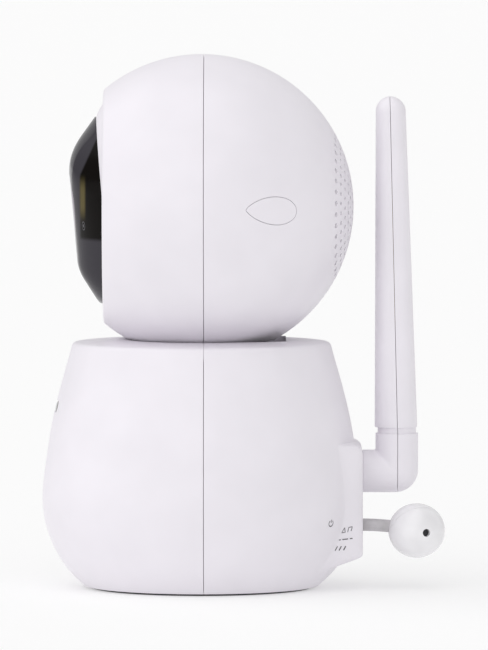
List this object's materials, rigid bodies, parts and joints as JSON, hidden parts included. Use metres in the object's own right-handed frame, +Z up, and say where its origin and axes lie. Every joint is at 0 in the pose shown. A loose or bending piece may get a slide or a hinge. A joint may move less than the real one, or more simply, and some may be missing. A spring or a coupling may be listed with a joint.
{
  "type": "baby monitor camera",
  "caption": "Pan-and-tilt nursery camera with a ball head on a rounded base, a swivelling rear antenna and a small temperature probe.",
  "frame": {"origin": "on the base's vertical axis, on the plane the rubber foot stands on, at the mouth of the threaded insert", "axes": "+Z up, -Y is the way the lens faces at rest, +X is to the right of someone who looks into the lens"},
  "size_m": [0.0754, 0.0953, 0.1264],
  "materials": {
    "white_shell": "fine satin, slightly lilac white",
    "probe_gloss": "gloss",
    "grey_rubber": "matte",
    "foot_rubber": "matte",
    "face_gloss": "smoked gloss",
    "window_glass": "smoked, coated",
    "indicator_black": "gloss",
    "button_white": "satin",
    "inner_plastic": "moulded",
    "gear_white": "moulded acetal",
    "bronze": "sintered bronze",
    "steel": "plated",
    "motor_zinc": "zinc plated can",
    "brass": "turned",
    "board_green": "solder mask",
    "chip_black": "moulded epoxy",
    "led_clear": "clear",
    "cable_black": "jacket",
    "speaker_paper": "pressed paper",
    "speaker_cloth": "woven dust cloth"
  },
  "bodies": {
    "base": {"base_front_shell": "white_shell", "base_rear_shell": "white_shell", "base_plate": "white_shell", "foot_ring": "foot_rubber", "base_screws": "steel", "tripod_insert": "brass", "main_board": "board_green", "board_chips": "chip_black", "rf_shield": "steel", "rear_board": "board_green", "usb_socket": "steel", "button_switches": "chip_black", "microphone": "chip_black", "indicator_window": "indicator_black", "pan_deck": "inner_plastic", "pan_bush": "bronze", "pan_motor": "motor_zinc", "probe_stem": "grey_rubber", "probe_grommet": "grey_rubber", "probe_shell_upper": "probe_gloss", "probe_shell_lower": "probe_gloss", "thermistor": "chip_black"},
    "turntable": {"turntable": "inner_plastic", "pan_gear": "gear_white", "pan_retainer": "steel", "yoke": "inner_plastic", "yoke_screws": "steel", "tilt_bushes": "bronze", "tilt_motor": "motor_zinc", "camera_ribbon": "cable_black"},
    "pan_pinion": {"pan_pinion": "gear_white"},
    "tilt_pinion": {"tilt_pinion": "gear_white"},
    "head": {"head_front_shell": "white_shell", "head_rear_shell": "white_shell", "side_plugs": "white_shell", "head_screws": "steel", "face_panel": "face_gloss", "lens_window": "window_glass", "lens_barrel": "inner_plastic", "lens_glass": "window_glass", "ir_board": "board_green", "ir_leds": "led_clear", "light_sensor": "led_clear", "head_board": "board_green", "image_sensor": "chip_black", "head_frame": "inner_plastic", "tilt_axles": "steel", "tilt_gear": "gear_white", "speaker_basket": "inner_plastic", "speaker_magnet": "motor_zinc", "speaker_cone": "speaker_paper", "speaker_mesh": "speaker_cloth"},
    "antenna": {"antenna_elbow": "white_shell", "antenna_blade_front": "white_shell", "antenna_blade_rear": "white_shell", "antenna_element": "brass", "antenna_clip": "steel", "antenna_coax": "cable_black"},
    "power_button": {"power_button": "button_white"},
    "pair_button": {"pair_button": "button_white"}
  },
  "joints": [
    {"name": "pan", "type": "hinge", "parent": "base", "child": "turntable", "pos_m": [0, 0, 0.05], "axis": [0, 0, 1], "range_deg": [-177.5, 177.5]},
    {"name": "tilt", "type": "hinge", "parent": "turntable", "child": "head", "pos_m": [0, 0, 0.0904], "axis": [1, 0, 0], "range_deg": [-24, 24]},
    {"name": "pan_pinion_spin", "type": "hinge", "parent": "base", "child": "pan_pinion", "pos_m": [0.0205, 0, 0.048], "axis": [0, 0, 1], "range_deg": [-863.14, 863.14]},
    {"name": "tilt_pinion_spin", "type": "hinge", "parent": "turntable", "child": "tilt_pinion", "pos_m": [0.0159, 0, 0.0794], "axis": [1, 0, 0], "range_deg": [-65, 65]},
    {"name": "antenna_swing", "type": "hinge", "parent": "base", "child": "antenna", "pos_m": [0, 0.0381, 0.0276], "axis": [0, 1, 0], "range_deg": [-90, 90]},
    {"name": "power_press", "type": "slide", "parent": "base", "child": "power_button", "axis": [0, -1, 0], "range_m": [0, 0.0006], "stiffness_N_per_m": 300},
    {"name": "pair_press", "type": "slide", "parent": "base", "child": "pair_button", "axis": [0, -1, 0], "range_m": [0, 0.0006], "stiffness_N_per_m": 300}
  ],
  "couplings": [
    {"joint": "pan_pinion_spin", "follows": "pan", "ratio": -4.8571},
    {"joint": "tilt_pinion_spin", "follows": "tilt", "ratio": -2.6667}
  ]
}
